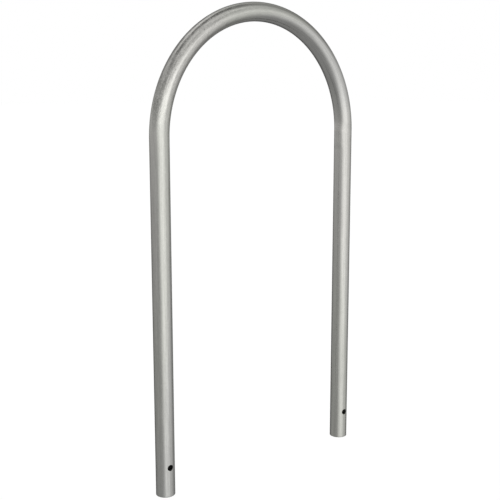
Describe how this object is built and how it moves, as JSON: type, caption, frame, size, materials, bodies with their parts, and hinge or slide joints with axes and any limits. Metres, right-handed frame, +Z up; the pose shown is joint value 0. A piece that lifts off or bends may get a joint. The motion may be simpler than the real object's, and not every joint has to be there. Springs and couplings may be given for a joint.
{
  "type": "hoop bike rack",
  "caption": "Galvanised steel pipe hoop for locking bicycles to, with drilled legs that are cast into the ground.",
  "frame": {"origin": "on the plane of the two cut pipe ends, midway between the legs", "axes": "+Z up along the legs, +X from the left leg to the right leg, +Y through the hoop, square to its plane"},
  "size_m": [0.6578, 0.0482, 1.2192],
  "materials": {
    "galvanised_pipe": "hot-dip galvanised steel pipe, dull satin grey with a faint spangle and fine draw lines",
    "dressed_weld": "weld metal ground flush with the pipe and galvanised with it, slightly lighter and more even"
  },
  "bodies": {
    "root": {"left_leg": "galvanised_pipe", "right_leg": "galvanised_pipe", "top_bend": "galvanised_pipe", "left_weld": "dressed_weld", "right_weld": "dressed_weld"}
  },
  "joints": []
}
